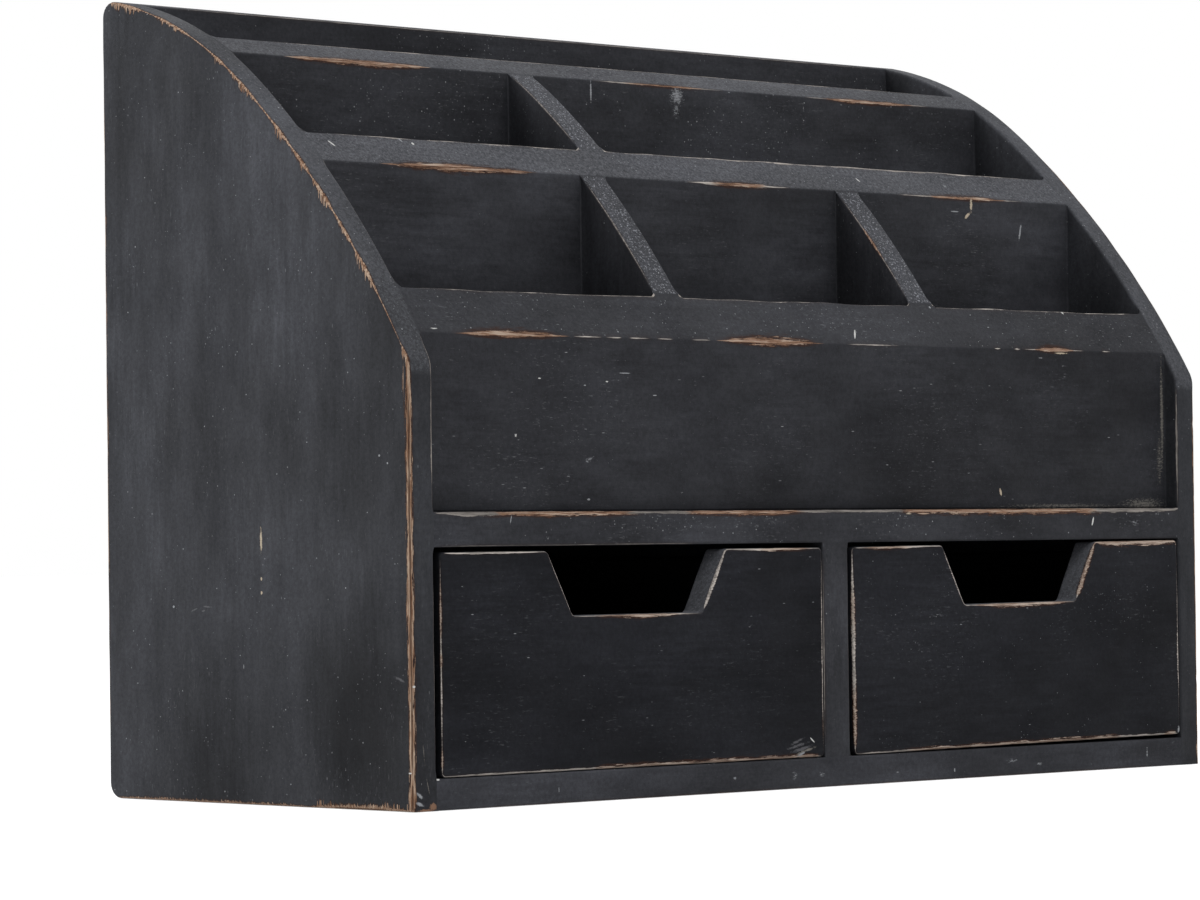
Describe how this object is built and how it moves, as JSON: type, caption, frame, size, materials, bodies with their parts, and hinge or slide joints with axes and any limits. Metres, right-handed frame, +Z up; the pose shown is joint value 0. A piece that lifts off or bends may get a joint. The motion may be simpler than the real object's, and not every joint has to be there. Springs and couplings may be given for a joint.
{
  "type": "desk envelope sorter with drawers",
  "caption": "Desk envelope sorter in painted wood: a tall rear slot and stepped rows of compartments between curved sides, over finger-notched drawers that slide out.",
  "frame": {"origin": "middle of the footprint, on the surface that the piece stands on", "axes": "+X to the right across the width, +Y to the back, +Z up; the drawers open towards -Y"},
  "size_m": [0.3708, 0.15, 0.2591],
  "materials": {
    "side_paint": "black paint, sanded through at the edges",
    "board_paint": "black paint, sanded through at the edges",
    "drawer_paint": "black paint, sanded through at the edges",
    "drawer_box_paint": "black paint"
  },
  "bodies": {
    "carcass": {"side_panel_left": "side_paint", "side_panel_right": "side_paint", "back_panel": "board_paint", "base_panel": "board_paint", "shelf": "board_paint", "drawer_divider": "board_paint", "front_panel": "board_paint", "divider_middle": "board_paint", "divider_upper": "board_paint", "partition_middle": "board_paint", "partition_front_left": "board_paint", "partition_front_right": "board_paint"},
    "drawer_left": {"drawer_left_front": "drawer_paint", "drawer_left_back": "drawer_box_paint", "drawer_left_side_left": "drawer_box_paint", "drawer_left_side_right": "drawer_box_paint", "drawer_left_bottom": "drawer_box_paint"},
    "drawer_right": {"drawer_right_front": "drawer_paint", "drawer_right_back": "drawer_box_paint", "drawer_right_side_left": "drawer_box_paint", "drawer_right_side_right": "drawer_box_paint", "drawer_right_bottom": "drawer_box_paint"}
  },
  "joints": [
    {"name": "drawer_left_slide", "type": "slide", "parent": "carcass", "child": "drawer_left", "axis": [0, -1, 0], "range_m": [0, 0.115]},
    {"name": "drawer_right_slide", "type": "slide", "parent": "carcass", "child": "drawer_right", "axis": [0, -1, 0], "range_m": [0, 0.115]}
  ]
}
